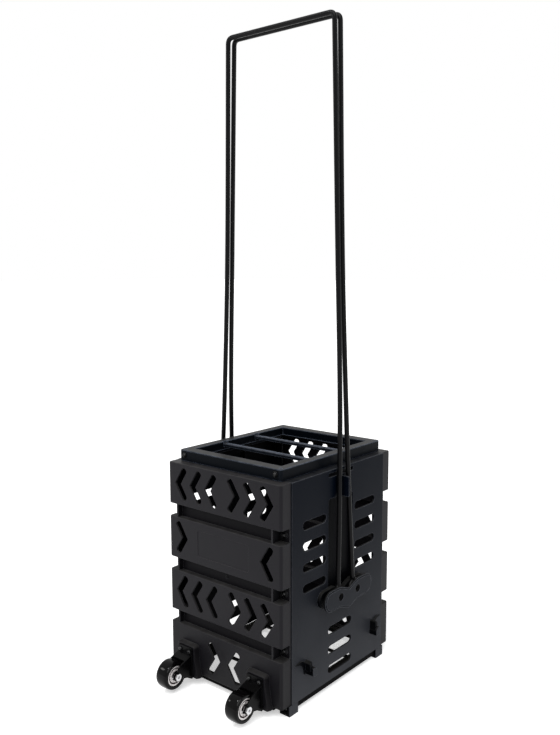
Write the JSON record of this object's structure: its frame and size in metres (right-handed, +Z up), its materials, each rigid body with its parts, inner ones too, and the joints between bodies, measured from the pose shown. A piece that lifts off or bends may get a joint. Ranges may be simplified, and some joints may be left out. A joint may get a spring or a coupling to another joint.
{
  "type": "ball cart",
  "caption": "Slotted ball basket with folding wire handles that double as legs, a pick-up floor of rods and fixed wheels.",
  "frame": {"origin": "on the floor under the middle of the overall width and length", "axes": "+Z up, -Y towards the wheels (front), +X to the right-hand side panel seen from the front looking back"},
  "size_m": [0.278, 0.359, 1.052],
  "materials": {
    "panel_plastic": "fine satin grain",
    "side_plastic": "fine satin grain",
    "rim_plastic": "satin",
    "coated_wire": "gloss black coating",
    "bracket_steel": "satin black",
    "tyre_black": "gloss black",
    "hub_white": "gloss white",
    "bright_steel": "bright zinc",
    "dark_screw": "black oxide"
  },
  "bodies": {
    "basket": {"front_panel": "panel_plastic", "back_panel": "panel_plastic", "floor_frame": "panel_plastic", "side_panel_right": "side_plastic", "side_panel_left": "side_plastic", "pivot_cover_right": "side_plastic", "pivot_cover_left": "side_plastic", "top_rim": "rim_plastic", "crossbar_front": "rim_plastic", "crossbar_back": "rim_plastic", "pick_up_rod_1": "coated_wire", "pick_up_rod_2": "coated_wire", "pick_up_rod_3": "coated_wire", "fork_bracket_left": "bracket_steel", "axle_bolt_left": "bright_steel", "axle_nut_left": "bright_steel", "fork_screw_left_1": "dark_screw", "fork_screw_left_2": "dark_screw", "fork_screw_left_3": "dark_screw", "fork_screw_left_4": "dark_screw", "pivot_screw_left_front": "dark_screw", "pivot_screw_left_back": "dark_screw", "fork_bracket_right": "bracket_steel", "axle_bolt_right": "bright_steel", "axle_nut_right": "bright_steel", "fork_screw_right_1": "dark_screw", "fork_screw_right_2": "dark_screw", "fork_screw_right_3": "dark_screw", "fork_screw_right_4": "dark_screw", "pivot_screw_right_front": "dark_screw", "pivot_screw_right_back": "dark_screw", "corner_screw_front_left_1": "dark_screw", "corner_screw_front_left_2": "dark_screw", "corner_screw_front_left_3": "dark_screw", "corner_screw_front_left_4": "dark_screw", "rim_screw_front_left": "dark_screw", "corner_screw_front_right_1": "dark_screw", "corner_screw_front_right_2": "dark_screw", "corner_screw_front_right_3": "dark_screw", "corner_screw_front_right_4": "dark_screw", "rim_screw_front_right": "dark_screw", "corner_screw_back_left_1": "dark_screw", "corner_screw_back_left_2": "dark_screw", "corner_screw_back_left_3": "dark_screw", "corner_screw_back_left_4": "dark_screw", "rim_screw_back_left": "dark_screw", "corner_screw_back_right_1": "dark_screw", "corner_screw_back_right_2": "dark_screw", "corner_screw_back_right_3": "dark_screw", "corner_screw_back_right_4": "dark_screw", "rim_screw_back_right": "dark_screw"},
    "handle_front": {"handle_front": "coated_wire"},
    "handle_back": {"handle_back": "coated_wire"},
    "wheel_left": {"tyre_left": "tyre_black", "hub_left": "hub_white", "bearing_left": "bright_steel"},
    "wheel_right": {"tyre_right": "tyre_black", "hub_right": "hub_white", "bearing_right": "bright_steel"}
  },
  "joints": [
    {"name": "handle_front_fold", "type": "hinge", "parent": "basket", "child": "handle_front", "pos_m": [0, 0.01, 0.16], "axis": [1, 0, 0], "range_deg": [0, 142]},
    {"name": "handle_back_fold", "type": "hinge", "parent": "basket", "child": "handle_back", "pos_m": [0, 0.056, 0.16], "axis": [-1, 0, 0], "range_deg": [0, 142]},
    {"name": "wheel_left_spin", "type": "hinge", "parent": "basket", "child": "wheel_left", "pos_m": [-0.075, -0.1567, 0.0285], "axis": [1, 0, 0], "continuous": true},
    {"name": "wheel_right_spin", "type": "hinge", "parent": "basket", "child": "wheel_right", "pos_m": [0.075, -0.1567, 0.0285], "axis": [1, 0, 0], "continuous": true}
  ]
}
